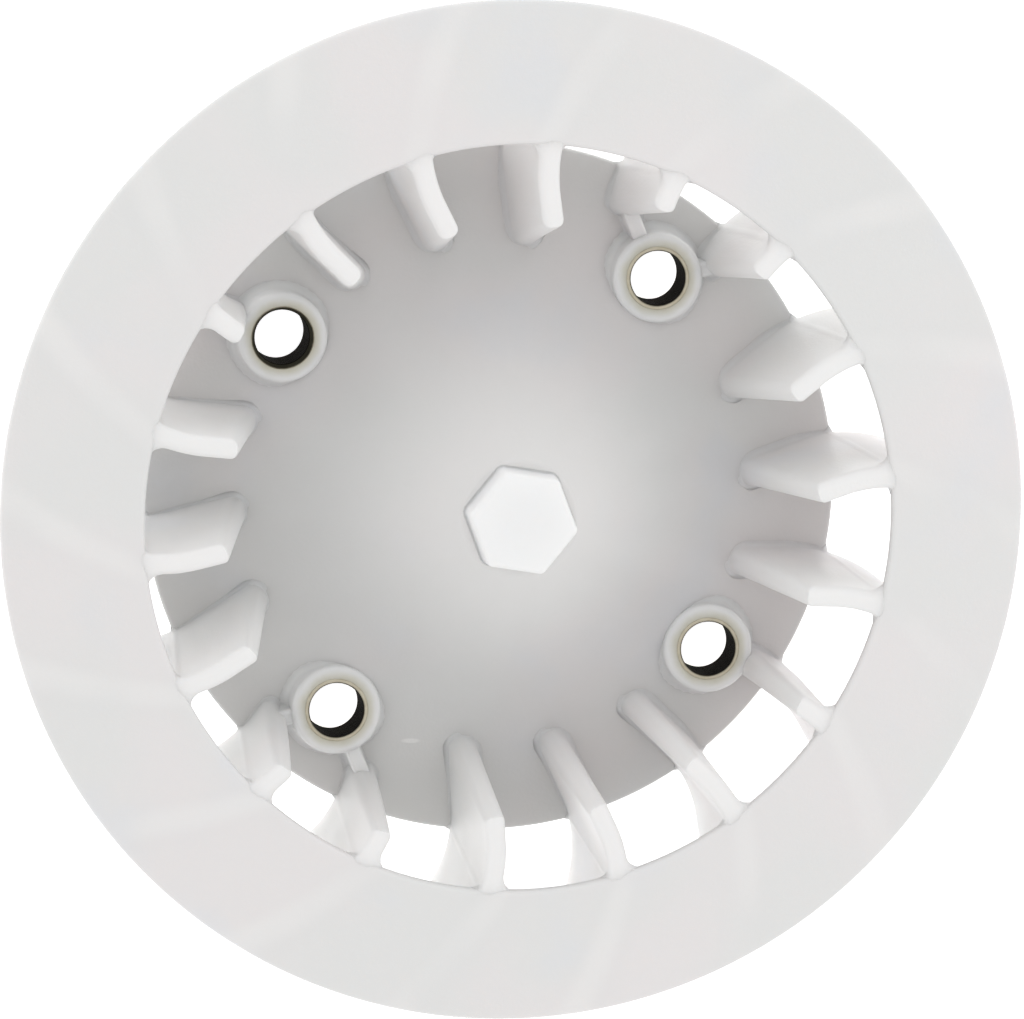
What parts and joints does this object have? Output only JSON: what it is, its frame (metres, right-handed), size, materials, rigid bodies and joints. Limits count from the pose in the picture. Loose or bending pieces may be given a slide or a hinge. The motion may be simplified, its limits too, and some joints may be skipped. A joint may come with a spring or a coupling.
{
  "type": "flywheel cooling fan",
  "caption": "White moulded cooling-fan wheel for a small engine's flywheel, with a conical front ring, bent blades, a hollow hub cone with a hexagonal nose, and bushed screw bosses.",
  "frame": {"origin": "on the wheel's axis, in the plane of the rear seat under the hub's rim", "axes": "+Z along the wheel's axis towards the hexagonal nose and the air inlet; +X and +Y across the wheel, with the first screw boss 53.6 degrees from +X towards +Y"},
  "size_m": [0.16, 0.16, 0.0384],
  "materials": {
    "white_moulding": "satin, slightly see-through white nylon",
    "bush_metal": "dull bronze-grey sleeve"
  },
  "bodies": {
    "root": {"blade_01": "white_moulding", "blade_02": "white_moulding", "blade_03": "white_moulding", "blade_04": "white_moulding", "blade_05": "white_moulding", "blade_06": "white_moulding", "blade_07": "white_moulding", "blade_08": "white_moulding", "blade_09": "white_moulding", "blade_10": "white_moulding", "blade_11": "white_moulding", "blade_12": "white_moulding", "blade_13": "white_moulding", "blade_14": "white_moulding", "blade_15": "white_moulding", "blade_16": "white_moulding", "blade_17": "white_moulding", "blade_18": "white_moulding", "front_ring": "white_moulding", "hex_nose": "white_moulding", "hub_cone": "white_moulding", "metal_bush_1": "bush_metal", "metal_bush_2": "bush_metal", "metal_bush_3": "bush_metal", "metal_bush_4": "bush_metal", "screw_boss_1": "white_moulding", "screw_boss_2": "white_moulding", "screw_boss_3": "white_moulding", "screw_boss_4": "white_moulding"}
  },
  "joints": []
}
